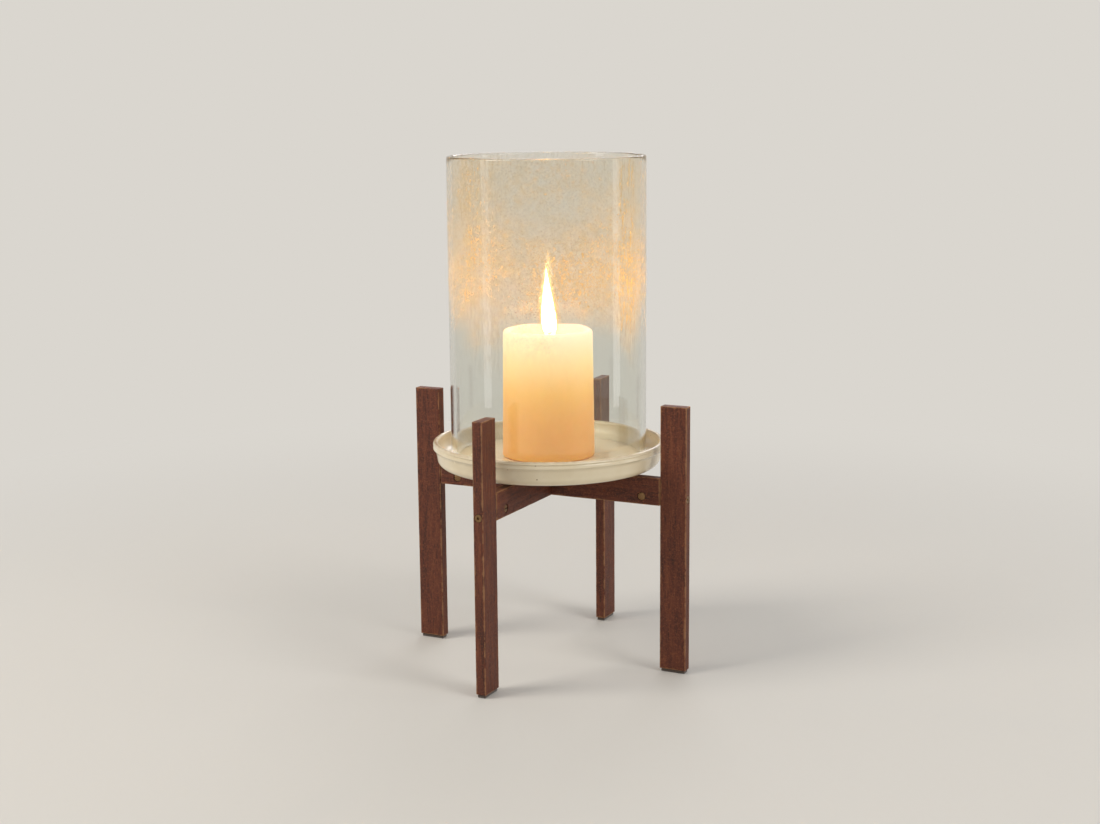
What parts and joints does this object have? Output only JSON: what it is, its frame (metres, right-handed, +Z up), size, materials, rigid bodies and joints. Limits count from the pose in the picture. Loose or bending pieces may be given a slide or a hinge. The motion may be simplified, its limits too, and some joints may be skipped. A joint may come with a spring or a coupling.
{
  "type": "hurricane candle holder",
  "caption": "Pillar candle under a clear glass hurricane sleeve, standing in a shallow glazed dish on a bolted wooden stand with upright slat legs.",
  "frame": {"origin": "on the surface that the felt pads stand on, at the centre line of the dish, the glass and the candle", "axes": "+Z up along the centre line; +X towards leg_right and -Y towards leg_front, along the two crossbars"},
  "size_m": [0.231, 0.231, 0.3886],
  "materials": {
    "stained_wood": "dark red-brown stain over rough-sawn open grain, worn pale at the edges",
    "felt": "pressed brown felt",
    "bronzed_steel": "antique bronze plate",
    "beech": "plain beech, fluted dowel stock",
    "cream_glaze": "cream glaze on stoneware",
    "clear_glass": "clear, fire-polished rim, faint soot and dust film",
    "ivory_wax": "ivory candle wax, translucent, soft sheen",
    "charred_cotton": "charred braided cotton",
    "tin_plate": "bright tin plate"
  },
  "bodies": {
    "stand": {"leg_right": "stained_wood", "leg_back": "stained_wood", "leg_left": "stained_wood", "leg_front": "stained_wood", "crossbar_left_right": "stained_wood", "crossbar_front_back": "stained_wood", "felt_pad_right": "felt", "felt_pad_back": "felt", "felt_pad_left": "felt", "felt_pad_front": "felt", "leg_screw_right": "bronzed_steel", "leg_screw_back": "bronzed_steel", "leg_screw_left": "bronzed_steel", "leg_screw_front": "bronzed_steel", "barrel_nut_right": "bronzed_steel", "barrel_nut_back": "bronzed_steel", "barrel_nut_left": "bronzed_steel", "barrel_nut_front": "bronzed_steel", "dowel_right": "beech", "dowel_back": "beech", "dowel_left": "beech", "dowel_front": "beech"},
    "dish": {"dish": "cream_glaze"},
    "glass": {"glass_sleeve": "clear_glass"},
    "candle": {"candle_wax": "ivory_wax", "wick": "charred_cotton", "wick_tab": "tin_plate"}
  },
  "joints": [
    {"name": "dish_lift", "type": "slide", "parent": "stand", "child": "dish", "axis": [0, 0, 1], "range_m": [0, 0.08]},
    {"name": "glass_lift", "type": "slide", "parent": "dish", "child": "glass", "axis": [0, 0, 1], "range_m": [0, 0.15]},
    {"name": "candle_lift", "type": "slide", "parent": "dish", "child": "candle", "axis": [0, 0, 1], "range_m": [0, 0.24]}
  ]
}
